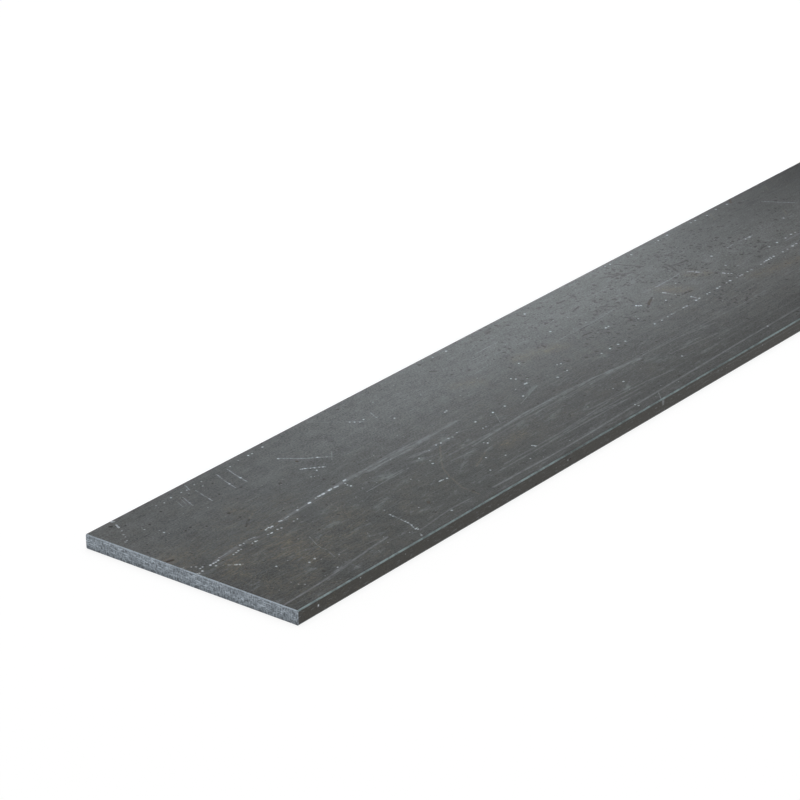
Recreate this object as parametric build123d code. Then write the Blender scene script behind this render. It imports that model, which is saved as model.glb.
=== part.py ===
from build123d import *
import os

# A steel plate in the narrow form that mills roll as flat bar: one solid piece of hot-rolled stock, sawn to length.
# It lies flat. Its length runs along X, its width along Y, and the origin is the centre of its lower face.
# The two broad faces and the two long edges are as rolled, and only the two ends are cut.

# Driving dimensions, in millimetres
length = 1000.0
width = 100.0
thickness = 6.0
corner_radius = 0.55  # the rolls leave all four long corners slightly round
saw_break = 0.3  # the burr is taken off round each sawn end


def rolled_section():
    """The section as it leaves the rolls: a flat rectangle with round corners, at the near end of the length."""
    near_end = Plane.YZ.offset(-length / 2)
    with BuildSketch(near_end) as section:
        with Locations((0, thickness / 2)):
            RectangleRounded(width, thickness, corner_radius)
    return section.sketch


def sawn_plate():
    """The section run out to its length, lying on Z = 0, with a narrow break round both sawn ends."""
    with BuildPart() as plate:
        extrude(rolled_section(), amount=length)
        sawn_ends = plate.faces().filter_by(Axis.X)
        chamfer(sawn_ends.edges(), saw_break)
    return plate.part


os.makedirs("parts", exist_ok=True)
export_step(sawn_plate(), "parts/plate.step")
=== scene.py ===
# %% [markdown]
# # A hot-rolled steel plate
# Stock like this is rolled red hot between plain rolls and then sawn to length. Its broad faces and its long edges
# keep the dark skin of oxide that forms as it cools, the mill scale. Only the two sawn ends are bare metal.
# The lesson builds the plate's mesh with Geometry Nodes, and then spends most of its cells on the finish, because
# on a plain bar the finish is what tells steel from plastic.

# %% Load the plate's frame
import math

import bpy
from mathutils import Matrix, Vector


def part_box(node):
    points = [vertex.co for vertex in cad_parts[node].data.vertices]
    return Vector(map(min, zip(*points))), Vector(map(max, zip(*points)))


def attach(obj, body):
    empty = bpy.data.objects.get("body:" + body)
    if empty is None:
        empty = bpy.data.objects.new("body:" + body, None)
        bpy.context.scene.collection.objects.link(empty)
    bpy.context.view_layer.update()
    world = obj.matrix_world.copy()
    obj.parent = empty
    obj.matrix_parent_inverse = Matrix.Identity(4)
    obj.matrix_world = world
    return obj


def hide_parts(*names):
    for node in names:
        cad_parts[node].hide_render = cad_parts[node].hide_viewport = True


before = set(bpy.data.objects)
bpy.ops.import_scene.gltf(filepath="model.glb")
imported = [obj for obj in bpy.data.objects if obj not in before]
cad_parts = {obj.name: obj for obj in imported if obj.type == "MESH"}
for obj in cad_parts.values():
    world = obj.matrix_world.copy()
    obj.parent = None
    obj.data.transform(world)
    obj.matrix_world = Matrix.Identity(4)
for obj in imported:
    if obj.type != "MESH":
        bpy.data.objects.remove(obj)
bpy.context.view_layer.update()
low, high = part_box("plate")
length, width, thickness = high - low
print("plate, in metres:", round(length, 4), round(width, 4), round(thickness, 4))

# %% [markdown]
# ## The camera first
# The photograph looks down along the bar from its sawn end, through a long lens, so the bar hardly tapers. The
# camera is placed in metres beside the real-size plate. Azimuth 0 would look along +Y, and a negative azimuth
# stands further towards the sawn end at -X. Every later cell that places a mark by a pixel of the photograph
# uses this camera to find the spot on the steel.

# %% Place the camera
photo_size = 800
camera_place = Vector((-1.29851, -0.73448, 0.55625))
camera_azimuth = math.radians(-51.377)
camera_elevation = math.radians(24.143)
camera_roll = math.radians(-0.846)
lens_in_pixels = 3435.7
sensor_width = 36.0


def camera_axes():
    """The camera's right, up and back directions as unit vectors."""
    back = Vector((
        math.sin(camera_azimuth) * math.cos(camera_elevation),
        -math.cos(camera_azimuth) * math.cos(camera_elevation),
        math.sin(camera_elevation),
    ))
    level_right = Vector((math.cos(camera_azimuth), math.sin(camera_azimuth), 0))
    level_up = back.cross(level_right)
    right = level_right * math.cos(camera_roll) + level_up * math.sin(camera_roll)
    return right, back.cross(right), back


def make_camera():
    """A long lens at the photograph's viewpoint."""
    camera = bpy.data.objects.new("camera", bpy.data.cameras.new("camera"))
    camera.data.sensor_width = sensor_width
    camera.data.lens = lens_in_pixels / photo_size * sensor_width
    camera.matrix_world = Matrix.Translation(camera_place) @ Matrix(camera_axes()).transposed().to_4x4()
    bpy.context.scene.collection.objects.link(camera)
    bpy.context.scene.camera = camera
    return camera


camera = make_camera()
print("lens, in millimetres:", round(camera.data.lens, 1))

# %% [markdown]
# ## Sums on wires
# A node tree is a long sum, and sums read best as Python. The class below wraps one output socket of a node tree
# and overloads the usual operators, so `1 - mask * 0.5` adds the two Math nodes that work it out. Everything that
# isn't plain arithmetic comes from `Graph.node`. Shader trees and Geometry Nodes trees share both.

# %% A small class for sums on wires
class Wire:
    """One value on its way through a node tree."""

    def __init__(self, graph, socket):
        self.graph = graph
        self.socket = socket

    def sum(self, operation, *values):
        return self.graph.sum(operation, *values)

    def __add__(self, other):
        return self.sum("ADD", self, other)

    def __sub__(self, other):
        return self.sum("SUBTRACT", self, other)

    def __rsub__(self, other):
        return self.sum("SUBTRACT", other, self)

    def __mul__(self, other):
        return self.sum("MULTIPLY", self, other)

    def times_plus(self, factor, more):
        return self.sum("MULTIPLY_ADD", self, factor, more)

    def __truediv__(self, other):
        return self.sum("DIVIDE", self, other)

    def __pow__(self, other):
        return self.sum("POWER", self, other)

    def __abs__(self):
        return self.sum("ABSOLUTE", self)

    __radd__ = __add__
    __rmul__ = __mul__

    def most(self, other):
        return self.sum("MAXIMUM", self, other)

    def least(self, other):
        return self.sum("MINIMUM", self, other)

    def above(self, other):
        return self.sum("GREATER_THAN", self, other)

    def sign(self):
        return self.sum("SIGN", self)


class Graph:
    """A node tree that nodes are added to from Python."""

    def __init__(self, tree):
        self.tree = tree

    def node(self, kind, settings=None, values=None, output=0):
        """Adds one node. Its settings come first, because they decide which sockets it has."""
        node = self.tree.nodes.new(kind)
        for name, setting in (settings or {}).items():
            setattr(node, name, setting)
        for socket, value in (values or {}).items():
            self.feed(node.inputs[socket], value)
        return Wire(self, node.outputs[output]) if len(node.outputs) else None

    def sum(self, operation, *values):
        """One Math node."""
        return self.node("ShaderNodeMath", {"operation": operation}, dict(enumerate(values)))

    def feed(self, socket, value):
        if isinstance(value, Wire):
            self.tree.links.new(value.socket, socket)
        else:
            socket.default_value = value

    def also(self, wire, output):
        """Another output of the node that a wire comes from."""
        return Wire(self, wire.socket.node.outputs[output])

    def vector(self, x=0.0, y=0.0, z=0.0):
        return self.node("ShaderNodeCombineXYZ", None, {"X": x, "Y": y, "Z": z})

    def parts(self, vector):
        """The three numbers of a vector, by dot products, which convert nothing on the way."""
        return [self.node("ShaderNodeVectorMath", {"operation": "DOT_PRODUCT"}, {0: vector, 1: axis}, output=1)
                for axis in ((1, 0, 0), (0, 1, 0), (0, 0, 1))]

    def noise(self, vector, scale=1.0, detail=2.0, roughness=0.5, distortion=0.0, seed=0.0):
        """Smooth noise from about 0 to 1, with a seed that picks another pattern."""
        return self.node("ShaderNodeTexNoise", {"noise_dimensions": "4D"}, {
            "Vector": vector, "W": seed, "Scale": scale,
            "Detail": detail, "Roughness": roughness, "Distortion": distortion,
        })

    def mix(self, share, first, second):
        """A colour between two others. Colours travel as vectors, and turn into colours at the last socket."""
        return self.node("ShaderNodeMix", {"data_type": "VECTOR"}, {0: share, 4: first, 5: second}, output=1)

    def scaled(self, colour, tone):
        """A colour made lighter or darker by a factor."""
        return self.node("ShaderNodeVectorMath", {"operation": "SCALE"}, {0: colour, "Scale": tone})

    def ease(self, value, start, end, low=0.0, high=1.0):
        """A value that goes from low to high, softly, as value goes from start to end."""
        return self.node("ShaderNodeMapRange", {"interpolation_type": "SMOOTHSTEP", "clamp": False}, {
            "Value": value, "From Min": start, "From Max": end, "To Min": low, "To Max": high,
        })


print("wires ready")

# %% [markdown]
# ## The plate's mesh
# A box with bevelled edges would do for the outline, but rolled steel is never that clean: the rolls leave faint
# lines along it, and a saw leaves its own across the ends. A gridded cube in Geometry Nodes starts closed and
# welded, with quads everywhere. Sums then move each of its points: first to the real size, then round the
# four long corners, then in at the sawn ends, and last by the relief, which only ever goes inwards, because
# the plate can't be larger than its real section.

# %% Describe the plate's shape as a node tree
corner_radius = 0.00055
saw_break = 0.0003
plate_inputs = {
    "Length": length,
    "Width": width,
    "Thickness": thickness,
    "Corner Radius": corner_radius,
    "Saw Break": saw_break,
    "Roll Line Depth": 0.00002,
    "Saw Mark Depth": 0.00005,
    "Waviness": 0.00003,
}
counts = {"Points Along": 280, "Points Across": 150, "Points Through": 15}
relief_seed = 4.0


def spread(value, flat, edge, share):
    """Places grid points from -1 to 1 over a flat run and a narrow edge zone, which gets that share of them."""
    far = abs(value)
    on_flat = far.least(1 - share) * (1 / (1 - share)) * flat
    on_edge = (far - (1 - share)).most(0) * (1 / share) * edge
    return (on_flat + on_edge) * value.sign()


def beyond(value, limit):
    """How far a value lies past a limit on either side of zero, with its sign."""
    return (abs(value) - limit).most(0) * value.sign()


def plate_tree(scale_finish, sawn_finish):
    """The Geometry Nodes tree that makes the plate, with its sizes as named inputs."""
    tree = bpy.data.node_groups.new("rolled plate", "GeometryNodeTree")
    tree.interface.new_socket("Geometry", in_out="OUTPUT", socket_type="NodeSocketGeometry")
    for name in plate_inputs:
        tree.interface.new_socket(name, in_out="INPUT", socket_type="NodeSocketFloat")
    for name in counts:
        tree.interface.new_socket(name, in_out="INPUT", socket_type="NodeSocketInt")
    g = Graph(tree)
    first = g.node("NodeGroupInput")
    size = {name: g.also(first, name) for name in [*plate_inputs, *counts]}
    half_length, half_width, half_thickness = size["Length"] / 2, size["Width"] / 2, size["Thickness"] / 2
    radius = size["Corner Radius"]
    brk = size["Saw Break"]

    cube = g.node("GeometryNodeMeshCube", None, {
        "Size": (2, 2, 2),
        "Vertices X": size["Points Along"],
        "Vertices Y": size["Points Across"],
        "Vertices Z": size["Points Through"],
    })
    u, v, w = g.parts(g.node("GeometryNodeInputPosition"))
    x = spread(u, half_length - brk, brk, 4 / counts["Points Along"])
    y = spread(v, half_width - radius, radius, 8 / counts["Points Across"])
    z = spread(w, half_thickness - radius, radius, 6 / counts["Points Through"])

    # Round the long corners: what lies past the arc's centre keeps its direction and takes the arc's length
    past_y = beyond(y, half_width - radius)
    past_z = beyond(z, half_thickness - radius)
    reach = (past_y * past_y + past_z * past_z) ** 0.5
    pull = abs(past_y).most(abs(past_z)) / reach.most(1e-9)
    y = y - past_y + past_y * pull
    z = z - past_z + past_z * pull

    # Rolled relief on the broad faces, and the marks of the saw across the ends
    lines_at = g.vector(x * 4, y * 900, z * 500)
    lines = g.noise(lines_at, detail=3, roughness=0.6, seed=relief_seed)
    waves = g.noise(g.vector(x * 9, y * 22, z * 90), detail=1, seed=relief_seed + 1)
    dip = lines * size["Roll Line Depth"] + waves * size["Waviness"]
    saw_at = g.vector(y * 1400, z * 260, x * 10)
    saw_dip = g.noise(saw_at, detail=3, roughness=0.6, seed=relief_seed + 2) * size["Saw Mark Depth"]
    ragged = g.noise(g.vector(x * 20, y * 500, z * 500), detail=2, seed=relief_seed + 3)
    inset = abs(beyond(x, half_length - brk)) * (0.7 + 0.3 * ragged)
    x = x * (1 - saw_dip / half_length)
    y = y * (1 - (inset + dip * 0.5) / half_width)
    z = z * (1 - (inset + dip) / half_thickness)

    shaped = g.node("GeometryNodeSetPosition", None, {
        "Geometry": cube, "Position": g.vector(x, y, z + half_thickness),
    })
    angle = g.node("GeometryNodeInputMeshEdgeAngle")
    soft = g.node("GeometryNodeSetShadeSmooth", {"domain": "FACE"}, {"Geometry": shaped, "Shade Smooth": True})
    smooth = g.node("GeometryNodeSetShadeSmooth", {"domain": "EDGE"}, {
        "Geometry": soft, "Selection": angle.above(math.radians(22)), "Shade Smooth": False,
    })
    facing = abs(g.parts(g.node("GeometryNodeInputNormal"))[0]).above(0.5)
    real = g.node("GeometryNodeRealizeInstances", None, {"Geometry": smooth})
    skin = g.node("GeometryNodeSetMaterial", None, {"Geometry": real, "Material": scale_finish})
    ends = g.node("GeometryNodeSetMaterial", None, {
        "Geometry": skin, "Selection": facing, "Material": sawn_finish,
    })
    g.node("NodeGroupOutput", None, {"Geometry": ends})
    return tree


def make_plate(scale_finish, sawn_finish):
    """Runs the tree once and keeps its result as a plain mesh."""
    tree = plate_tree(scale_finish, sawn_finish)
    maker = bpy.data.objects.new("plate maker", bpy.data.meshes.new("empty"))
    bpy.context.scene.collection.objects.link(maker)
    modifier = maker.modifiers.new("rolled plate", "NODES")
    modifier.node_group = tree
    sockets = {item.name: item.identifier for item in tree.interface.items_tree if item.in_out == "INPUT"}
    for name, value in {**plate_inputs, **counts}.items():
        modifier[sockets[name]] = value
    bpy.context.view_layer.update()
    graph = bpy.context.evaluated_depsgraph_get()
    mesh = bpy.data.meshes.new_from_object(maker.evaluated_get(graph), preserve_all_data_layers=True, depsgraph=graph)
    bpy.data.objects.remove(maker)
    plate = bpy.data.objects.new("rolled_plate", mesh)
    bpy.context.scene.collection.objects.link(plate)
    return plate


# %% [markdown]
# ## Marks that were read off the photograph
# Nobody notices one scratch on a bar like this, but everybody notices when they are all gone. These were read off
# enlarged pieces of the photograph, as pixels across and down. A pair of brackets round one pixel is a
# fleck, and several pixels in a row are one stroke. They lie in rows, because the bars are dragged lengthwise over
# rollers and over each other. The camera above turns each pixel back into a spot on the steel.

# %% Bright flecks and scuffs, where bare metal shows
bright_flecks = [
    [(164.0, 532.5)], [(171.1, 497.6)], [(229.6, 483.8)], [(240.3, 477.6)], [(200.2, 568.4)], [(202.6, 570.9)],
    [(197.1, 573.8)], [(199.4, 573.2)], [(210.3, 565.1)], [(213.5, 563.4)], [(216.0, 565.8)], [(218.3, 560.3)],
    [(236.4, 552.4)], [(238.4, 550.6)], [(240.4, 545.0)], [(236.6, 564.5)], [(239.9, 564.4)], [(255.4, 541.3)],
    [(277.7, 529.3)], [(265.8, 529.7)], [(268.6, 527.4)], [(270.7, 527.7)], [(272.3, 526.2)], [(297.4, 509.9)],
    [(308.8, 503.1), (310.2, 502.3)], [(322.2, 494.4), (324.0, 493.1)], [(328.6, 490.4), (331.0, 488.9)],
    [(343.8, 480.7), (345.2, 479.8)], [(350.9, 485.8)], [(278.0, 458.6)], [(317.4, 457.3)], [(248.2, 455.5)],
    [(262.5, 447.0)], [(314.6, 558.7)], [(446.5, 410.9)], [(505.0, 406.0)], [(492.9, 412.4)], [(475.5, 421.8)],
    [(447.2, 478.2)], [(451.6, 510.2)], [(487.6, 443.0)], [(524.5, 313.9)], [(446.1, 351.1)],
    [(550.5, 331.5)], [(525.0, 383.8), (526.6, 382.9)], [(523.2, 396.0)], [(557.7, 377.1)], [(601.4, 353.4)],
    [(610.0, 348.6)], [(618.2, 344.2)], [(625.4, 341.1)], [(606.0, 327.8)], [(667.2, 235.1)],
    [(726.9, 204.2)], [(636.2, 305.6)], [(641.0, 305.5)], [(655.1, 323.8)], [(683.5, 307.5)], [(696.0, 300.2)],
    [(699.4, 298.1)], [(717.1, 288.2)], [(730.2, 280.5)], [(742.0, 274.8)], [(766.4, 260.4)], [(768.6, 259.2)],
    [(773.8, 256.3)], [(792.6, 245.9)], [(796.6, 243.4)], [(769.3, 246.7)], [(777.0, 242.5)], [(791.2, 234.2)],
    [(711.6, 256.1)], [(749.6, 236.9)], [(318.3, 605.5)], [(309.4, 562.3)],
]
plain_flecks = [
    [(111.4, 521.7), (114.2, 521.5)], [(116.3, 524.8), (119.0, 527.7)], [(121.5, 530.7)], [(123.4, 534.4)],
    [(125.2, 541.9)], [(126.6, 540.7)], [(144.2, 529.4)], [(155.9, 505.5)], [(164.2, 502.8)], [(181.2, 492.5)],
    [(186.8, 490.0)], [(194.4, 484.6)], [(201.2, 481.6)], [(202.7, 486.0)], [(191.3, 567.0)], [(195.9, 566.8)],
    [(202.5, 566.9)], [(215.8, 562.2)], [(219.3, 557.5)], [(233.3, 554.2)], [(241.3, 549.3)], [(243.8, 543.2)],
    [(252.5, 543.1)], [(257.0, 540.6)], [(234.8, 564.7)], [(267.2, 528.4)], [(270.8, 533.2), (272.2, 532.4)],
    [(267.9, 534.5)], [(281.3, 527.9)], [(293.8, 521.0)], [(297.2, 518.8)], [(279.0, 521.4), (281.6, 520.5)],
    [(315.7, 498.0)], [(317.8, 496.4), (321.0, 494.9)], [(334.1, 487.5), (337.9, 486.1)], [(345.2, 483.3)],
    [(347.5, 485.0)], [(310.8, 476.9)], [(237.8, 460.3)], [(252.2, 453.6)], [(230.0, 466.6)], [(316.7, 470.1)],
    [(349.8, 422.0)], [(354.7, 422.0)], [(359.7, 422.0)], [(363.5, 419.5)], [(394.5, 418.1)], [(444.7, 412.1)],
    [(486.0, 426.4)], [(482.9, 428.1)], [(418.9, 458.1)], [(429.2, 450.7)], [(436.4, 445.0)], [(441.0, 443.0)],
    [(448.5, 438.5)], [(452.5, 437.0)], [(456.9, 432.5)], [(430.1, 460.6)], [(432.8, 463.4)],
    [(439.3, 481.3), (443.0, 479.8)], [(484.1, 442.7)], [(486.0, 457.6)], [(505.7, 455.1)], [(490.4, 470.0)],
    [(532.0, 445.4), (535.6, 445.9)], [(530.5, 458.5)], [(635.0, 404.5)], [(638.6, 405.5)], [(432.7, 357.2)],
    [(518.7, 363.3)], [(511.0, 378.6)], [(515.9, 379.0)], [(527.4, 378.4)], [(504.7, 405.9)], [(557.2, 364.7)],
    [(560.9, 363.6)], [(567.0, 370.4)], [(612.8, 388.4)], [(623.6, 381.4)], [(605.1, 266.5)], [(610.2, 264.2)],
    [(631.6, 254.6)], [(658.4, 240.6)], [(690.8, 222.7)], [(695.4, 220.6)], [(706.9, 215.5)], [(715.8, 209.3)],
    [(696.0, 271.9), (698.6, 272.0)], [(722.8, 272.8), (724.8, 273.1)], [(728.2, 273.3)], [(731.4, 273.5)],
    [(663.0, 292.7), (665.8, 293.0)], [(675.2, 294.3)], [(638.6, 305.6)], [(608.4, 326.3)], [(675.3, 283.2)],
    [(665.8, 300.2)], [(691.2, 296.7)], [(783.7, 218.0)], [(725.6, 265.2)], [(638.3, 318.7)], [(682.0, 356.0)],
    [(767.7, 326.0)], [(661.9, 320.1)], [(667.6, 316.7)], [(686.6, 306.0)], [(707.0, 293.8)], [(709.6, 292.4)],
    [(719.9, 286.6)], [(726.9, 282.8)], [(736.7, 277.6)], [(747.7, 271.5)], [(751.6, 269.8)], [(761.0, 264.2)],
    [(764.2, 262.0)], [(770.0, 257.5)], [(771.4, 258.3)], [(783.0, 251.7)], [(787.5, 249.1)], [(785.6, 238.0)],
    [(745.4, 239.0)], [(795.2, 232.3)], [(390.6, 514.5)], [(393.0, 516.2)], [(405.5, 521.1)], [(408.1, 522.3)],
    [(411.6, 524.9)], [(415.9, 528.7)], [(417.9, 529.0)], [(421.6, 535.0)], [(300.5, 469.2)], [(302.5, 468.9)],
    [(305.0, 468.6)], [(310.5, 468.3)], [(314.5, 467.8)], [(319.5, 467.2)], [(323.0, 466.8)],
    [(337.3, 567.2)], [(276.5, 566.2)], [(739.7, 275.8)],
]
faint_flecks = [
    [(159.5, 530.5)], [(169.3, 533.2)], [(165.7, 499.6)], [(188.7, 493.2)], [(181.9, 569.1), (184.1, 567.3)],
    [(223.5, 565.2)], [(228.0, 564.9), (231.5, 564.8)], [(242.8, 564.1)], [(249.1, 539.3), (255.5, 537.0)],
    [(297.4, 507.0)], [(283.1, 479.6)], [(281.0, 484.2)], [(298.3, 538.7)], [(314.5, 476.3)], [(318.0, 475.6)],
    [(362.3, 488.0)], [(355.8, 497.1)], [(350.3, 502.9)], [(490.4, 415.5)], [(397.4, 435.4)], [(403.1, 436.5)],
    [(418.6, 480.4)], [(490.8, 338.4)], [(473.3, 357.2)], [(470.8, 349.9)], [(505.4, 344.5)], [(523.3, 339.1)],
    [(553.2, 320.4)], [(476.4, 395.7)], [(571.0, 396.2)], [(588.0, 406.8)], [(597.9, 332.4)], [(743.5, 200.7)],
    [(674.6, 313.0), (671.4, 314.2)], [(719.3, 252.1)], [(727.5, 247.6), (732.7, 244.4)], [(360.6, 577.5)],
    [(568.0, 460.0)], [(285.0, 518.0), (288.5, 516.4)], [(687.0, 271.4), (694.0, 271.7)], [(702.0, 272.0)],
    [(668.0, 293.4), (673.0, 294.0)], [(747.4, 238.0)], [(752.4, 235.4)], [(691.0, 296.5), (696.5, 297.7)],
    [(698.8, 301.5)], [(726.5, 255.8)], [(279.0, 590.2)], [(287.7, 560.4)], [(321.3, 559.2)], [(340.4, 578.3)],
    [(298.5, 584.0)], [(305.2, 584.2)], [(264.5, 554.0)], [(325.5, 575.8)], [(706.9, 299.9)], [(711.6, 302.2)],
    [(722.7, 300.5)],
]
print(len(bright_flecks) + len(plain_flecks) + len(faint_flecks), "flecks and scuffs")

# %% Scratches, soft streaks, rolled lines and dark marks
scratches = [
    [(185.0, 485.4), (189.7, 489.8)], [(196.0, 490.5), (202.5, 494.6), (212.3, 500.6)],
    [(183.0, 497.3), (193.0, 505.5)], [(216.0, 474.0), (224.7, 480.5), (229.6, 483.8), (235.6, 487.6)],
    [(227.0, 469.0), (236.7, 475.6), (240.3, 477.6), (247.3, 481.7)], [(277.7, 458.6), (305.9, 458.4)],
    [(305.9, 458.4), (317.3, 457.3), (333.0, 456.5)], [(299.9, 469.1), (308.1, 468.2), (325.4, 466.6)],
    [(370.1, 412.4), (377.3, 418.1)], [(762.0, 201.4), (796.4, 202.7)], [(655.0, 287.2), (661.2, 284.0), (668.0, 280.3)],
    [(389.4, 514.5), (395.1, 516.5), (404.3, 521.1)], [(265.5, 530.0), (269.0, 527.2), (272.8, 526.0)],
    [(210.0, 565.2), (214.0, 562.8), (218.5, 560.3)], [(764.1, 261.9), (767.5, 259.9), (774.3, 256.2)],
    [(696.7, 300.2), (700.0, 297.9)], [(792.4, 245.5), (796.4, 243.3)], [(717.1, 288.0), (719.9, 286.9)],
    [(683.4, 307.4), (687.0, 305.8)], [(745.0, 238.8), (752.2, 235.6)], [(696.0, 271.8), (700.6, 272.1)],
    [(404.3, 521.1), (410.0, 524.0), (415.8, 529.1), (417.2, 527.4)], [(420.4, 533.7), (422.5, 536.4)],
]
thin_scratches = [
    [(176.5, 501.1), (183.0, 506.6)], [(180.3, 498.4), (186.8, 504.4)], [(219.9, 557.5), (231.8, 549.4)],
    [(331.7, 450.8), (331.9, 460.0)], [(309.5, 536.8), (316.3, 544.1), (321.3, 547.9), (326.3, 549.3)],
    [(726.7, 247.7), (732.9, 244.6)], [(738.6, 241.8), (745.0, 238.8)], [(305.0, 422.0), (340.0, 422.0)],
    [(340.0, 422.0), (363.5, 421.5)], [(366.4, 491.8), (376.7, 486.1), (408.9, 467.7)],
    [(489.2, 437.9), (491.5, 440.8)],
    [(476.0, 353.3), (497.9, 341.8)],
    [(520.8, 403.7), (537.1, 385.3)], [(495.3, 413.9), (500.4, 422.6)], [(647.8, 291.0), (655.0, 287.2)],
    [(668.0, 280.3), (679.1, 273.8)], [(367.2, 532.7), (369.9, 536.5)], [(378.5, 550.4), (381.0, 552.5)],
    [(658.5, 392.5), (661.0, 399.0), (662.5, 403.5), (664.0, 400.0)],
]
rolled_lines = [
    [(493.5, 487.0), (545.3, 458.8), (586.1, 435.3), (633.0, 406.2), (676.5, 380.0), (746.7, 338.2), (802.0, 305.7)],
    [(472.9, 446.0), (523.9, 413.4), (568.8, 390.0), (592.2, 378.2), (640.0, 358.0)],
    [(284.5, 604.5), (303.0, 593.5), (320.0, 583.0), (335.0, 573.0), (346.0, 565.0), (351.0, 561.5)],
    [(351.0, 561.5), (360.0, 555.5), (368.8, 549.2), (387.2, 537.0)],
    [(786.0, 240.4), (802.0, 232.0)],
    [(345.0, 479.2), (359.6, 472.0), (383.8, 459.4), (401.2, 450.4), (423.7, 440.2), (458.0, 420.0)],
]
faint_lines = [
    [(590.0, 384.3), (623.6, 364.7), (677.7, 337.6), (716.9, 321.8)], [(590.0, 409.0), (646.0, 381.5), (674.0, 369.3)],
    [(670.3, 353.5), (716.9, 333.3)], [(541.2, 447.0), (592.2, 414.9), (628.0, 398.6)],
    [(504.7, 463.7), (553.2, 436.7), (609.2, 401.2)], [(555.0, 342.3), (568.0, 335.0), (597.2, 319.4), (614.2, 309.1)],
    [(450.0, 454.0), (520.0, 417.2)], [(676.5, 338.2), (740.3, 305.0), (765.8, 289.7)],
    [(480.0, 440.5), (520.0, 417.8)], [(420.4, 529.7), (450.2, 509.0), (472.0, 497.6)],
    [(645.0, 327.0), (700.0, 300.0)], [(760.0, 262.0), (802.0, 238.5)], [(500.0, 470.2), (560.0, 436.6), (639.9, 391.9)],
    [(545.7, 440.4), (590.0, 415.6), (639.9, 388.1)], [(448.7, 455.3), (527.0, 414.3), (560.6, 395.5)],
    [(344.9, 561.3), (359.6, 567.4)], [(329.0, 551.8), (334.6, 556.6)],
    [(409.4, 457.6), (423.0, 452.5), (429.8, 449.9), (435.5, 445.1), (449.1, 438.1), (457.0, 432.4), (467.2, 429.3)],
    [(386.7, 478.0), (403.7, 468.9)], [(451.3, 461.0), (475.0, 449.7)],
]
soft_streaks = [
    [(356.0, 475.8), (367.5, 468.8), (381.0, 460.5), (393.5, 453.0), (404.3, 447.0), (413.9, 443.0)],
    [(368.6, 470.6), (378.8, 465.5), (389.0, 459.5), (400.3, 453.6), (409.4, 449.1), (418.5, 443.4), (429.8, 436.9)],
    [(413.9, 443.0), (428.7, 436.6), (445.7, 427.0), (452.5, 423.0)],
    [(296.0, 512.0), (330.0, 490.0), (352.0, 476.5)], [(215.0, 561.0), (236.0, 547.8)],
    [(247.0, 541.0), (256.5, 536.8)], [(280.0, 521.5), (291.0, 514.5), (299.0, 509.0)],
    [(327.0, 579.0), (340.0, 569.0), (352.0, 560.5)],
    [(411.0, 457.0), (423.0, 452.5), (429.8, 449.9), (435.5, 445.1), (441.1, 443.1), (449.1, 438.1)],
    [(560.0, 394.5), (592.2, 379.5), (640.0, 358.5)],
]
dark_specks = [
    [(125.4, 525.9)], [(160.7, 511.5)], [(149.5, 524.3)], [(212.5, 483.3)], [(219.3, 494.1)], [(241.5, 487.0)],
    [(190.4, 527.2)], [(206.8, 526.1)], [(185.7, 530.7)], [(283.1, 510.5)], [(337.8, 514.3), (339.0, 514.3)],
    [(319.4, 529.8)], [(260.9, 529.4)], [(359.0, 464.1)], [(326.8, 505.1)], [(368.8, 482.3)], [(323.8, 479.0)],
    [(542.7, 306.4)], [(476.0, 345.7)], [(454.8, 398.8)], [(489.4, 389.1)], [(537.8, 403.6)], [(577.2, 383.0)],
    [(596.0, 307.3)], [(596.0, 310.3)], [(505.0, 449.6)], [(432.0, 360.6)], [(730.1, 201.0)], [(677.8, 295.4)],
    [(683.6, 248.5)], [(690.2, 247.8)], [(700.8, 247.0)], [(708.0, 246.0)], [(721.0, 243.9)], [(730.7, 242.9)],
    [(674.2, 247.0)], [(697.2, 246.7)], [(715.4, 245.3)], [(724.0, 243.5)], [(663.2, 266.8)], [(667.8, 269.0)],
    [(668.0, 271.3)], [(672.6, 271.7)], [(685.3, 268.4)], [(695.5, 269.6)], [(698.4, 256.0)], [(701.8, 262.2)],
    [(696.7, 262.2)], [(706.9, 268.4)], [(707.4, 271.3)], [(661.5, 256.0)], [(671.2, 257.7)], [(734.6, 259.0)],
    [(667.2, 301.9)], [(662.1, 308.1)], [(736.3, 299.6)], [(676.3, 297.0)], [(679.3, 295.4)], [(671.5, 299.0)],
    [(714.8, 290.6)], [(723.9, 283.3)], [(729.0, 282.9)], [(695.6, 302.0)], [(713.1, 309.8)], [(726.7, 297.9)],
    [(665.5, 257.1)], [(678.5, 256.5)], [(696.0, 236.0)], [(721.5, 226.5)], [(723.4, 226.0)], [(630.6, 317.1)],
    [(582.0, 336.0), (591.2, 332.3)], [(541.9, 345.3), (545.3, 347.0)], [(488.2, 360.0)], [(494.0, 359.2)],
    [(500.5, 358.6)], [(506.5, 358.0)], [(512.4, 357.2)], [(519.7, 356.0)], [(430.0, 371.5), (436.0, 371.2)],
    [(442.1, 370.9)], [(452.0, 370.1)], [(461.0, 369.8)], [(468.8, 369.3)], [(485.7, 355.1)],
    [(590.0, 337.3), (593.5, 337.5)], [(573.0, 311.5), (578.4, 306.7)], [(557.2, 303.6), (564.5, 300.6)],
    [(501.8, 482.7)], [(488.8, 486.1)], [(494.0, 488.0)], [(498.7, 487.0)], [(606.3, 427.3)], [(463.6, 391.0)],
    [(604.0, 306.8)], [(636.6, 318.9)], [(649.7, 316.1)], [(601.2, 321.7)], [(614.3, 324.5)], [(598.4, 330.1)],
    [(614.3, 337.6)], [(610.4, 285.7)], [(622.5, 293.5)], [(714.4, 294.4)], [(719.6, 298.7)], [(750.8, 243.3)],
    [(536.2, 484.3)], [(570.2, 459.2)], [(730.8, 215.5)], [(715.3, 237.2)], [(711.8, 241.5)], [(743.8, 237.2)], [(756.8, 214.7)], [(594.7, 300.3)],
]
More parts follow.
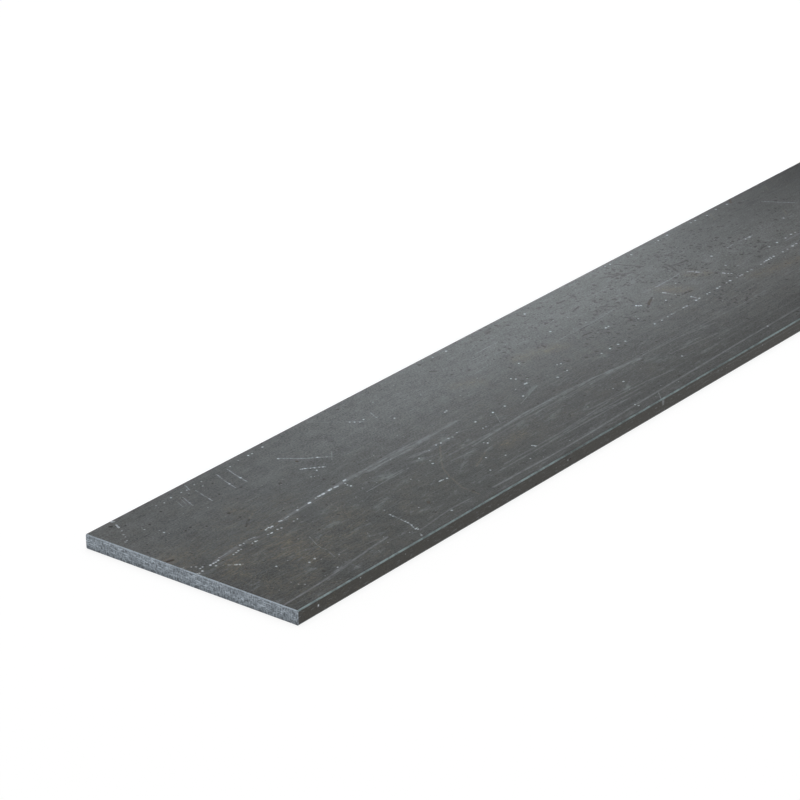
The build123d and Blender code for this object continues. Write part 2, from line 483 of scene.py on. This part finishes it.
dark_hairs = [
    [(248.8, 518.6), (247.4, 522.4), (245.7, 526.4)], [(486.2, 334.2), (490.2, 331.2)],
    [(580.0, 329.7), (588.0, 325.3)], [(599.6, 307.0), (616.6, 306.0)],
    [(651.9, 297.3), (650.8, 299.6), (648.8, 302.6), (648.7, 304.7), (647.7, 307.0)],
    [(665.0, 267.4), (668.9, 269.3)], [(688.0, 268.6), (696.9, 269.3)], [(614.0, 264.2), (643.4, 266.7)],
    [(600.0, 278.2), (633.2, 272.5)], [(629.3, 299.3), (633.2, 301.8)], [(682.5, 294.2), (687.0, 292.0), (691.2, 290.6)],
    [(564.0, 393.0), (577.0, 386.3), (607.6, 373.1)],
    [(605.2, 273.6), (615.0, 274.6), (624.3, 274.5)], [(665.0, 264.1), (671.0, 266.5), (678.0, 271.9)],
    [(627.3, 317.1), (633.8, 320.8)], [(670.0, 266.3), (680.0, 263.0), (687.6, 259.9)],
    [(747.3, 296.1), (746.4, 300.5)], [(760.1, 249.7), (762.4, 247.2), (766.4, 245.9)],
]
brown_gouges = [
    [(164.6, 562.4), (172.7, 560.0)], [(428.0, 501.6), (428.8, 502.8)], [(296.4, 461.1), (297.2, 461.3)],
    [(729.5, 199.5), (731.0, 203.0)], [(650.6, 300.0), (648.9, 302.6), (648.7, 304.2)],
]
brown_scratches = [
    [(439.9, 445.9), (441.0, 457.4), (442.7, 467.7), (449.1, 475.8)],
    [(449.1, 475.8), (461.7, 487.2), (470.9, 490.7), (479.5, 494.1)],
    [(765.2, 186.4), (768.4, 190.2)], [(783.0, 209.3), (786.2, 213.8)], [(710.5, 214.0), (715.0, 219.5)],
    [(230.0, 512.0), (236.0, 509.5)], [(262.0, 549.0), (272.0, 544.5)], [(281.0, 548.0), (290.0, 541.0)],
    [(253.4, 513.2), (248.8, 518.6)], [(228.0, 564.6), (243.0, 558.6)], [(236.0, 569.4), (244.0, 563.6)],
    [(268.0, 560.0), (279.0, 555.8), (296.0, 549.6)], [(703.0, 272.0), (712.4, 272.6)], [(661.0, 292.3), (677.0, 294.4)],
    [(476.5, 466.0), (480.5, 459.5), (487.0, 449.5)],
]
warm_patches = [
    [(519.0, 358.5), (539.0, 352.0), (559.0, 346.5)], [(458.0, 386.0), (476.0, 382.0)],
    [(662.0, 289.0), (686.0, 289.0)], [(691.0, 274.0), (703.0, 273.5)], 
    [(752.0, 276.0), (775.0, 268.0), (797.0, 259.0)], [(228.0, 510.0), (250.0, 512.0)],
    [(165.0, 560.0), (190.0, 553.0)], [(262.0, 552.0), (300.0, 546.0)], [(228.0, 566.0), (246.0, 560.0)],
    [(503.0, 445.0), (522.0, 434.0)],
]
print(len(scratches) + len(thin_scratches), "scratches,", len(dark_specks) + len(dark_hairs), "dark marks")


# %% [markdown]
# ## From a pixel to a spot on the steel
# A camera turns a spot into a pixel, and the same sums run backwards give the ray that the pixel looks along. Where
# that ray meets the top face is the mark. A pixel just past the near edge looks at the side face instead.

# %% Find the marks on the steel
def on_steel(pixel):
    """The spot that a pixel of the photograph looks at, in millimetres of the plate's own frame."""
    across, down = pixel
    right, up, back = camera_axes()
    middle = photo_size / 2
    ray = right * (across - middle) + up * (middle - down) - back * lens_in_pixels
    spot = camera_place + ray * ((high.z - camera_place.z) / ray.z)
    if spot.y < low.y:
        spot = camera_place + ray * ((low.y - camera_place.y) / ray.y)
    return spot * 1000


print("the main streak starts at", [round(value, 1) for value in on_steel(soft_streaks[0][0])])


# %% [markdown]
# ## How far is the nearest mark?
# A stroke is drawn by distance. For one of its segments the nodes find the nearest point on the segment and measure
# how far the shaded spot is from it. That sum is a node group, made once and used for every segment. Each family
# of strokes is a group too, which keeps the smallest of its distances, and one soft step then turns it into a mask.
# The segment's sum uses plain numbers and no Clamp, because Cycles works out
# clamped and converted values only after all others, so hundreds of half-finished sums would wait at once and
# overflow its memory for one surface, and that surface renders black.

# %% Measure the distance to strokes
def new_group(name, inputs, output):
    """An empty group of shader nodes, with the wires of its inputs."""
    tree = bpy.data.node_groups.new(name, "ShaderNodeTree")
    for label, kind in inputs.items():
        tree.interface.new_socket(label, in_out="INPUT", socket_type=kind)
    tree.interface.new_socket(output, in_out="OUTPUT", socket_type="NodeSocketFloat")
    g = Graph(tree)
    first = g.node("NodeGroupInput")
    return g, [g.also(first, label) for label in inputs]


def segment_group():
    """The square of the distance from the shaded spot to a segment, given where it starts and how it runs."""
    names = ["X", "Y", "Start X", "Start Y", "Run X", "Run Y"]
    g, wires = new_group("distance to a segment", {name: "NodeSocketFloat" for name in names}, "Squared")
    x, y, start_x, start_y, run_x, run_y = wires
    past_x = x - start_x
    past_y = y - start_y
    reached = past_x.times_plus(run_x, past_y * run_y)
    along = (reached / (run_x * run_x + run_y * run_y)).most(0).least(1)
    off_x = along.times_plus(0 - run_x, past_x)
    off_y = along.times_plus(0 - run_y, past_y)
    g.node("NodeGroupOutput", None, {"Squared": off_x.times_plus(off_x, off_y * off_y)})
    return g.tree


def strokes_group(name, strokes):
    """The distance from the shaded spot to the nearest of these strokes, in millimetres."""
    g, (here,) = new_group(name, {"Here": "NodeSocketVector"}, "Distance")
    x, y, z = g.parts(here)
    spots = [[on_steel(pixel) for pixel in stroke] for stroke in strokes]
    nearest = None
    for start, end in [pair for stroke in spots for pair in zip(stroke, stroke[1:])]:
        run = end - start
        squared = g.node("ShaderNodeGroup", {"node_tree": segment}, {
            "X": x, "Y": y, "Start X": start.x, "Start Y": start.y, "Run X": run.x, "Run Y": run.y,
        })
        nearest = squared if nearest is None else nearest.least(squared)
    if nearest:
        nearest = nearest ** 0.5 + z.above(3.0) * -far_off + far_off
    for spot in [stroke[0] for stroke in spots if len(stroke) == 1]:
        distance = g.node("ShaderNodeVectorMath", {"operation": "DISTANCE"}, {0: here, 1: spot}, output=1)
        nearest = distance if nearest is None else nearest.least(distance)
    g.node("NodeGroupOutput", None, {"Distance": nearest})
    return g.tree


def near(g, here, group):
    """The distance to a family of strokes, from its group."""
    return g.node("ShaderNodeGroup", {"node_tree": group}, {"Here": here})


def drawn(g, here, group, half_width, soft):
    """A mask of a family of strokes, 1 inside them and 0 outside, with a soft border."""
    return g.ease(near(g, here, group), half_width + soft / 2, half_width - soft / 2)


far_off = 100.0
segment = segment_group()
near_bright_flecks = strokes_group("bright flecks", bright_flecks)
near_plain_flecks = strokes_group("plain flecks", plain_flecks)
near_faint_flecks = strokes_group("faint flecks", faint_flecks)
near_scratches = strokes_group("scratches", scratches)
near_thin_scratches = strokes_group("thin scratches", thin_scratches)
near_rolled_lines = strokes_group("rolled lines", rolled_lines)
near_faint_lines = strokes_group("faint lines", faint_lines)
near_soft_streaks = strokes_group("soft streaks", soft_streaks)
near_dark_specks = strokes_group("dark specks", dark_specks)
near_dark_hairs = strokes_group("dark hairs", dark_hairs)
near_brown_gouges = strokes_group("brown gouges", brown_gouges)
near_brown_scratches = strokes_group("brown scratches", brown_scratches)
near_warm_patches = strokes_group("warm patches", warm_patches)
print("nodes in the bright flecks:", len(near_bright_flecks.nodes))


# %% [markdown]
# ## Noise that knows how the bar was made
# Noise is read in millimetres, so its scale says how large a feature is on the real steel. Streaks are the same
# noise read from coordinates that are squeezed along the bar: the rolls pull every flaw out lengthwise. Scattered
# flecks come from Voronoi cells, which each hold one point. A random number per cell chooses the few that show.

# %% Fields that the finishes share
def new_finish(name):
    """A material with its graph, its surface node and the shaded spot in millimetres."""
    finish = bpy.data.materials.new(name)
    finish.use_nodes = True
    g = Graph(finish.node_tree)
    surface = finish.node_tree.nodes["Principled BSDF"]
    spot = g.node("ShaderNodeTexCoord", output="Object")
    here = g.node("ShaderNodeVectorMath", {"operation": "SCALE"}, {0: spot, "Scale": 1000})
    return finish, g, surface, here


def streaks(g, parts, long, wide, detail, seed):
    """Noise pulled out along the bar, with the length and the width of one streak in millimetres."""
    x, y, z = parts
    return g.noise(g.vector(x / long, y / wide, z / wide), detail=detail, roughness=0.6, seed=seed)


def slanted(g, parts, angle, long, wide, detail, seed):
    """Streaks that run at an angle to the bar, in degrees."""
    x, y, z = parts
    turn = math.radians(angle)
    along = x.times_plus(math.cos(turn), y * math.sin(turn))
    beside = y.times_plus(math.cos(turn), x * -math.sin(turn))
    return g.noise(g.vector(along / long, beside / wide, z / wide), detail=detail, roughness=0.6, seed=seed)


def wobbled(g, here, size, reach, seed):
    """The same spot, shifted a little each way by noise, so that what is drawn there gets a torn border."""
    shift = g.also(g.noise(here, scale=1 / size, detail=1, seed=seed), "Color")
    moved = g.node("ShaderNodeVectorMath", {"operation": "MULTIPLY_ADD"}, {
        0: shift, 1: (2 * reach, 2 * reach, 2 * reach), 2: (-reach, -reach, -reach),
    })
    return g.node("ShaderNodeVectorMath", None, {0: here, 1: moved})


def scattered(g, parts, cell, size, share, seed, stretch=1.0):
    """Flecks strewn over every face, one at most in each cell. Share is how many of the cells hold one."""
    x, y, z = parts
    upper = z.above(5.5)
    flat = g.vector(x / stretch + upper * 333 + seed * 41, y + z)
    cells = g.node("ShaderNodeTexVoronoi", {"voronoi_dimensions": "2D"}, {"Vector": flat, "Scale": 1 / cell})
    chance, luck, _ = g.parts(g.also(cells, "Color"))
    radius = (0.4 + 0.6 * luck) * (size / cell)
    return g.ease(radius - cells, 0, 0.15 / cell) * g.sum("LESS_THAN", chance, share)


print("fields ready")


# %% [markdown]
# ## Mill scale
# The skin is a thin oxide, half way between a metal and a mineral, so the finish is half metallic: then one colour
# drives both its own tone and the lamps that it mirrors. The colour is built up like a wash: broad clouds,
# mottling of a few millimetres, fibres and streaks along the bar, fine grain, then rust where damp has got in,
# then dark specks, and last the bright flecks where the skin is broken and the steel shows. The grain also drives
# a very small bump, so that the long highlight breaks up.

# %% Layers of the mill scale
scale_colour = (0.093, 0.098, 0.099)
# painted shade: the darker colour that the skin turns towards the near edge
shaded_edge_colour = (0.058, 0.0585, 0.0565)
rust_colour = (0.208, 0.172, 0.118)
brown_colour = (0.040, 0.026, 0.016)
pit_colour = (0.012, 0.007, 0.004)
metal_colour = (0.84, 0.90, 0.96)
scratch_colour = (0.36, 0.39, 0.42)
line_colour = (0.20, 0.206, 0.224)
# painted highlight: the bright cool line along the round corners
arris_highlight_colour = (0.33, 0.41, 0.42)
# painted shade: the darker colour that the long side faces are given
shaded_side_colour = (0.051, 0.0485, 0.042)
scale_metal = 0.6  # how far the skin behaves like a metal
scale_sheen = 1.35  # the index of refraction of the rest of it, low for a dull sheen
scale_roughness = 0.31
edge_roughness = 0.40


def tone_of_scale(g, here, parts):
    """How light the skin is, around 1, from clouds down to grain."""
    x, y, z = parts
    cloud = g.noise(here, scale=1 / 70, detail=2, seed=1)
    mottle = g.noise(here, scale=1 / 5, detail=4, roughness=0.7, distortion=0.3, seed=2)
    grain = g.noise(here, scale=1 / 0.75, detail=2, roughness=0.8, seed=3)
    broad = streaks(g, parts, 500, 7, 2, 4)
    fibre = streaks(g, parts, 7, 1.4, 4, 6)
    clean_end = g.ease(x, -360, -440, 1, 0.72).most(g.ease(y, 5, -15, 0, 1))
    clean_end = clean_end * g.ease(x, -300, -120, 1, 0.86)
    tone = 1 + (cloud - 0.5) * 0.4 + ((mottle - 0.5) * 1.6 + (grain - 0.5) * 4.1) * clean_end
    return tone + (broad - 0.5) * 0.4 + (fibre - 0.5) * 1.0, grain, mottle


def painted_light_of_scale(g, parts):
    """Painted light and shade along the bar, in place of the sheen's rise and fall: paler by its end, lighter along
    the middle of its width, darker on the near half by the end and along the far side past the middle.
    """
    x, y, z = parts
    # painted light and shade: each of these masks lightens or darkens the skin where the sheen rises or fades
    pale_end = g.ease(x, -500, -438, 1, 0) * g.ease(y, -20, 40)
    far_side = g.ease(x, -180, 10) * g.ease(x, 130, 420, 1, 0) * g.ease(y, 5, 48)
    darkest = g.ease(x, -60, 5, 0.56, 0.76)
    lit_middle = g.ease(x, -285, -120) * g.ease(abs(y + 2), 45, 10)
    near_half = g.ease(x, -280, -150, 1, 0) * g.ease(y, 30, 0)
    return 0.97 + pale_end * 0.41 - far_side * darkest + lit_middle * 0.40 - near_half * 0.15


def lines_of_scale(g, parts):
    """Fine parallel lines that the rolls draw the whole length of the bar, as a light mask and a dark one."""
    x, y, z = parts
    lines = streaks(g, parts, 420, 0.8, 2, 5)
    lined = g.ease(y, 5, -14) * g.ease(x, -420, -330) * g.ease(streaks(g, parts, 90, 9, 2, 8), 0.35, 0.6) * 0.85 + 0.15
    return g.ease(lines, 0.55, 0.68) * lined, g.ease(lines, 0.45, 0.32) * lined


def rust_of_scale(g, here, parts):
    """Thin rust: warm stains that follow the fibres, and wiggly hairs where it creeps under the skin."""
    x, y, z = parts
    near_end = g.ease(abs(x), length * 500 - 20, length * 500 - 150, 1, 0)
    low_side = g.ease(y, -20, 40, 1, 0.2)
    placed = drawn(g, here, near_warm_patches, 3.0, 9)
    speckle = g.ease(g.noise(here, scale=1 / 1.1, detail=3, roughness=0.75, seed=10), 0.48, 0.58)
    seat = (near_end.most(0.3) * low_side * g.ease(y, -44, -28, 0.45, 1)).most(placed)
    patch = g.ease(g.noise(here, scale=1 / 15, detail=4, roughness=0.6, seed=11), 0.40, 0.62).most(placed * 0.8)
    fibre = g.ease(streaks(g, parts, 5.0, 0.7, 3, 14), 0.51, 0.62)
    fibre = fibre.most(g.ease(slanted(g, parts, -24, 4.0, 0.7, 3, 20), 0.54, 0.65))
    ridge = abs(g.noise(here, scale=1 / 3.2, detail=3, roughness=0.6, distortion=0.9, seed=12) - 0.5)
    hairs = g.ease(ridge, 0.018, 0.0) * g.ease(g.noise(here, scale=1 / 8, seed=13), 0.44, 0.58)
    stain = seat * patch * (0.03 + 0.55 * fibre + 0.4 * speckle * fibre + 0.2 * speckle)
    return stain + placed * (0.06 + 0.3 * speckle) * g.ease(x, -350, -200, 0.8, 1.9), seat * hairs


def wear_of_scale(g, here, parts):
    """Fine wear everywhere: light hairline scratches, and dark pits and cracks that crowd past the middle."""
    x, y, z = parts
    light = g.ease(slanted(g, parts, 11, 13, 0.5, 2, 15), 0.58, 0.74)
    light = light.most(g.ease(slanted(g, parts, -7, 18, 0.45, 2, 16), 0.58, 0.74))
    smears = g.ease(g.noise(g.vector(x / 14, y / 5, z / 5), detail=5, roughness=0.75, distortion=0.5, seed=25), 0.53, 0.7)
    smears = smears * abs(z - 3).above(2.5) * g.ease(y, 15, -10, 0.3, 1.3) * g.ease(x, -250, -120, 1, 0.4)
    crowd = g.ease(g.noise(here, scale=1 / 24, detail=2, seed=17), 0.36, 0.58) * g.ease(x, -135, -90, 1, 0.3)
    old = g.ease(x, -330, -200) * g.ease(y, -25, 10, 0.3, 1) * 0.97 + 0.03
    pits = scattered(g, parts, 3.8, 0.98, crowd * old * 0.55 + 0.004, 3)
    pits = pits.most(scattered(g, parts, 2.2, 0.62, crowd * old * 0.4 + 0.006, 9) * 0.9)
    ridge = abs(g.noise(g.vector(x / 11, y / 4.5, z / 4.5), detail=3, distortion=0.6, seed=18) - 0.5)
    cracks = g.ease(ridge, 0.018, 0.002) * g.ease(g.noise(here, scale=1 / 6, seed=19), 0.5, 0.6) * crowd * old
    return light.most(smears), pits.most(cracks * 1.3)


def unseen_marks(g, parts):
    """Rows of flecks and a few scratches for the faces that the photograph leaves out: the far half and below."""
    x, y, z = parts
    unseen = g.ease(x, 5, 30).most(g.ease(z, 0.7, 0.4))
    rows = g.ease(streaks(g, parts, 260, 1.3, 1, 61), 0.60, 0.66)
    flecks = scattered(g, parts, 3.0, 0.75, rows * 0.6 + 0.01, 62)
    scuffs = g.ease(slanted(g, parts, -38, 14, 0.4, 1, 63), 0.70, 0.78)
    scuffs = scuffs.most(g.ease(slanted(g, parts, 27, 18, 0.4, 1, 64), 0.70, 0.78))
    return unseen * (flecks * 0.5).most(scuffs * 0.35), unseen * rows * 0.4


def arris_highlight_of_scale(g, parts):
    """1 on the round long corners, where a painted highlight stands for the lamp that they mirror. The near upper one
    gets the most.
    """
    x, y, z = parts
    past_y = abs(y) - (width * 500 - corner_radius * 1000)
    past_z = abs(z - thickness * 500) - (thickness * 500 - corner_radius * 1000)
    return g.ease(past_y.least(past_z), -0.1, 0.2) * g.ease(y, 20, -20, 0.05, 1) * g.ease(z, 2, 4, 0.5, 1)


def mill_scale_finish():
    """The dark skin of rolled steel, with everything that has happened to it since."""
    finish, g, surface, here = new_finish("mill scale")
    parts = g.parts(here)
    x, y, z = parts
    tone, grain, mottle = tone_of_scale(g, here, parts)
    stain, hairs = rust_of_scale(g, here, parts)
    torn = wobbled(g, here, 0.8, 0.3, 21)
    hairlines, worn = wear_of_scale(g, torn, g.parts(torn))
    shrink = g.ease(x, -400, -50, 1, 0.78)
    broken = g.ease(g.noise(here, scale=1 / 0.9, detail=2, roughness=0.7, seed=22), 0.44, 0.57)

    # Soft tones first, with painted shade along the near edge and on the long sides and painted light and shade along
    # the bar, then rust and dark marks
    # painted shade: darker towards the near edge, most of all by the end
    edge = g.ease(y, 32, -38) * g.ease(x, -330, -150, 1, 0.6)
    colour = g.mix(edge, scale_colour, shaded_edge_colour)
    light_lines, dark_lines = lines_of_scale(g, parts)
    # the skin's tone is also scaled by painted light and shade along the bar
    colour = g.scaled(colour, tone * painted_light_of_scale(g, parts) * (1 - dark_lines * 0.26))
    # painted shade: the long side faces are mixed most of the way to a darker colour
    on_side = g.ease(z, 5.5, 5.25) * g.ease(z, 0.5, 0.75) * g.ease(abs(y), 49.4, 49.8)
    colour = g.mix(on_side * 0.75, colour, shaded_side_colour)
    colour = g.mix(stain * (1 - on_side * 0.7) * 0.52, colour, rust_colour)
    colour = g.mix(hairs * 0.55, colour, rust_colour)
    hair = g.ease(near(g, torn, near_dark_hairs) * shrink, 0.62, 0.28) * (0.5 + 0.5 * broken)
    dark = drawn(g, torn, near_dark_specks, 0.48, 0.4).most(hair)
    colour = g.mix(dark.most(worn * 0.88 * (1 - on_side)).least(1) * 0.92, colour, pit_colour)
    colour = g.mix(drawn(g, here, near_brown_gouges, 0.6, 0.4), colour, brown_colour)
    colour = g.mix(drawn(g, here, near_brown_scratches, 0.36, 0.5) * (0.08 + 0.26 * broken), colour, rust_colour)

    # Then what is brighter than the skin
    patchy = g.ease(g.noise(here, scale=1 / 2.2, detail=2, roughness=0.7, seed=24), 0.36, 0.62)
    strands = g.ease(streaks(g, parts, 12, 0.55, 3, 23), 0.40, 0.58)
    streak = g.ease(near(g, here, near_soft_streaks), 1.6, 0.2) * strands
    line = drawn(g, here, near_rolled_lines, 0.42, 0.7) * (0.26 + 0.34 * patchy + 0.26 * strands)
    line = line.most(drawn(g, here, near_faint_lines, 0.3, 0.6) * (0.2 + 0.35 * patchy))
    other_flecks, other_rows = unseen_marks(g, parts)
    line = line.most(streak * (0.48 + 0.38 * patchy)).most(light_lines * 0.28).most(other_rows)
    colour = g.mix(line, colour, line_colour)
    far_arris = g.ease(y, 49.1, 49.5)
    colour = g.scaled(colour, 1 - far_arris * 0.6)
    # painted highlight on the round long corners, strongest on the near upper one, broken up by streaks
    arris_highlight = arris_highlight_of_scale(g, parts) * (0.35 + 0.8 * g.ease(streaks(g, parts, 14, 4, 3, 31), 0.3, 0.7))
    arris_highlight = arris_highlight * (0.72 + 0.5 * patchy)
    colour = g.mix(arris_highlight, colour, arris_highlight_colour)
    scratch = drawn(g, torn, near_scratches, 0.26, 0.3) * (0.08 + 0.54 * broken + 0.34 * patchy)
    scratch = scratch.most(drawn(g, here, near_thin_scratches, 0.16, 0.3) * (0.08 + 0.22 * broken + 0.26 * patchy))
    colour = g.mix(scratch.most(hairlines * 0.21), colour, scratch_colour)
    distance = near(g, torn, near_bright_flecks) * shrink
    metal = g.ease(distance, 0.52, 0.26) * (0.28 + 0.36 * broken + 0.28 * patchy)
    halo = g.ease(distance, 0.9, 0.3) * 0.1
    metal = metal.most(g.ease(near(g, torn, near_plain_flecks) * shrink, 0.51, 0.21) * (0.15 + 0.36 * broken + 0.24 * patchy))
    metal = metal.most(drawn(g, torn, near_faint_flecks, 0.3, 0.3) * (0.08 + 0.22 * broken))
    metal = metal.most(scattered(g, parts, 9, 0.42, 0.3, 7) * (0.05 + 0.3 * broken) * (1 - on_side * 0.6)).most(halo)
    metal = metal.most(scattered(g, parts, 3.1, 0.3, 0.25, 12) * 0.12 * (1 - on_side)).most(other_flecks * (0.4 + 0.6 * broken))
    colour = g.mix(metal, colour, metal_colour)
    g.feed(surface.inputs["Base Color"], colour)

    rusty = stain.most(hairs)
    g.feed(surface.inputs["Metallic"], scale_metal - rusty * 0.25 - far_arris * 0.35)
    dull = g.ease(y, 50, -50, scale_roughness, edge_roughness) + far_arris * 0.5
    g.feed(surface.inputs["Roughness"], dull + (grain - 0.5) * 0.12 + (mottle - 0.5) * 0.16 + rusty * 0.1)
    surface.inputs["IOR"].default_value = scale_sheen
    height = grain * 0.6 + g.noise(here, scale=1 / 0.45, detail=2, seed=41) * 0.4
    g.feed(surface.inputs["Normal"], g.node("ShaderNodeBump", None, {
        "Strength": 1.0, "Distance": 0.000025, "Height": height,
    }))
    return finish


mill_scale = mill_scale_finish()
print("mill scale:", len(mill_scale.node_tree.nodes), "nodes")


# %% [markdown]
# ## The sawn ends
# A saw leaves bare steel, matt and cold grey, covered with tiny bright and dull facets. Short scratches from its
# teeth run across the bar. A painted highlight brightens the broken rim, and the face turns darker towards its lower
# edge.

# %% The sawn finish
sawn_light = (0.52, 0.59, 0.66)
sawn_dull = (0.10, 0.115, 0.13)


def sawn_finish():
    """Bare sawn steel with facets, short tooth marks, a painted highlight on its rim, and darker towards the bottom.
    """
    finish, g, surface, here = new_finish("sawn steel")
    x, y, z = g.parts(here)
    speckle = g.noise(here, scale=1 / 0.8, detail=3, roughness=0.75, seed=51)
    upright = g.noise(g.vector(x, y / 0.45, z / 1.8), detail=2, roughness=0.7, seed=52)
    level = g.noise(g.vector(x, y / 3.2, z / 0.4), detail=3, roughness=0.7, seed=53)
    patch = g.noise(g.vector(x, y / 9, z / 3), detail=2, seed=54)
    streak = g.ease(level, 0.53, 0.62) * g.ease(patch, 0.40, 0.54) * g.ease(z, 0.8, 3.5) * 0.95
    # painted highlight: a brighter band along the top of the cut
    rim = g.ease(z, thickness * 1000 - 0.5, thickness * 1000 - 0.2) * g.ease(patch, 0.36, 0.5, 0.4, 0.75)
    # darker towards the bottom of the cut
    darker_low = g.ease(z, 2.2, 0.6) * 0.12
    shine = g.ease(speckle * 0.35 + upright * 0.4 + level * 0.25, 0.38, 0.63, 0, 0.72) + streak + rim - darker_low
    colour = g.mix(shine, sawn_dull, sawn_light)
    g.feed(surface.inputs["Base Color"], colour)
    g.feed(surface.inputs["Roughness"], 0.55 - 0.15 * shine)
    surface.inputs["Metallic"].default_value = 0.6
    g.feed(surface.inputs["Normal"], g.node("ShaderNodeBump", None, {
        "Strength": 1.0, "Distance": 0.00004, "Height": speckle * 0.5 + upright * 0.5,
    }))
    return finish


sawn_steel = sawn_finish()
print("sawn steel:", len(sawn_steel.node_tree.nodes), "nodes")


# %% [markdown]
# ## Put the finishes on the mesh
# The tree gives each face its material by the way it faces, so the sawn ends and the rolled skin meet exactly at
# the rim of the cut.

# %% Make the plate
plate = make_plate(mill_scale, sawn_steel)
plate.data.calc_loop_triangles()
print("plate mesh:", len(plate.data.vertices), "points,", len(plate.data.loop_triangles), "triangles")
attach(plate, "root")
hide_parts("plate")


# %% [markdown]
# ## A studio for dark steel
# Dark oxide shows almost nothing of its own colour. What the eye reads is the soft lamp that it mirrors, so a long
# narrow softbox stands behind the bar, low, where the camera would see it in a mirror laid on the steel. The rest
# is level light, with a floor bright enough to look white and still to take a faint shadow.

# %% Floor, lamps and world
floor_glow = 1.13
floor_glow_share = 0.75
world_light = 0.35


def seen_directly(g):
    """1 for the rays that show a background: the camera's own, and those by a mirror or through glass."""
    path = g.node("ShaderNodeLightPath", output="Is Camera Ray")
    return path.most(g.also(path, "Is Glossy Ray")).most(g.also(path, "Is Transmission Ray"))


def make_floor():
    """A wide pale floor, which shows white and keeps a faint shadow."""
    bpy.ops.mesh.primitive_plane_add(size=30)
    floor = bpy.context.object
    floor.name = "floor"
    pale = bpy.data.materials.new("pale floor")
    pale.use_nodes = True
    pale.node_tree.nodes.clear()
    g = Graph(pale.node_tree)
    lit = g.node("ShaderNodeBsdfDiffuse", None, {"Color": (0.8, 0.8, 0.8, 1)})
    glow = g.node("ShaderNodeEmission", None, {"Color": (1, 1, 1, 1), "Strength": floor_glow})
    shown = g.node("ShaderNodeMixShader", None, {0: seen_directly(g) * floor_glow_share, 1: lit, 2: glow})
    g.node("ShaderNodeOutputMaterial", None, {"Surface": shown})
    floor.data.materials.append(pale)
    return floor


def make_softbox(name, place, aim, size, power, colour):
    """A soft rectangular lamp that faces what it lights."""
    lamp = bpy.data.lights.new(name, "AREA")
    lamp.shape = "RECTANGLE"
    lamp.size, lamp.size_y = size
    lamp.energy = power
    lamp.color = colour
    softbox = bpy.data.objects.new(name, lamp)
    softbox.location = place
    softbox.rotation_euler = (Vector(aim) - Vector(place)).to_track_quat("-Z", "Y").to_euler()
    softbox.visible_camera = False
    bpy.context.scene.collection.objects.link(softbox)
    return softbox


def make_world():
    """Soft grey light from everywhere, and white where the camera looks past the floor."""
    world = bpy.data.worlds.new("studio")
    bpy.context.scene.world = world
    world.use_nodes = True
    g = Graph(world.node_tree)
    background = world.node_tree.nodes["Background"]
    camera_ray = g.node("ShaderNodeLightPath", output="Is Camera Ray")
    g.feed(background.inputs["Strength"], world_light + (1 - world_light) * camera_ray)
    g.feed(background.inputs["Color"], (1, 1, 1, 1))
    return world


floor = make_floor()
make_world()
make_softbox("rear strip", (1.192, 1.219, 0.5), (-0.2, 0, 0), (0.5, 0.14), 1.9, (0.9, 0.97, 1.0))
make_softbox("overhead", (-0.1, 0.1, 1.7), (-0.1, 0, 0), (1.8, 1.4), 17.0, (1, 1, 1))
bpy.context.scene.view_settings.view_transform = "Standard"
print("world at", world_light, "and two lamps")
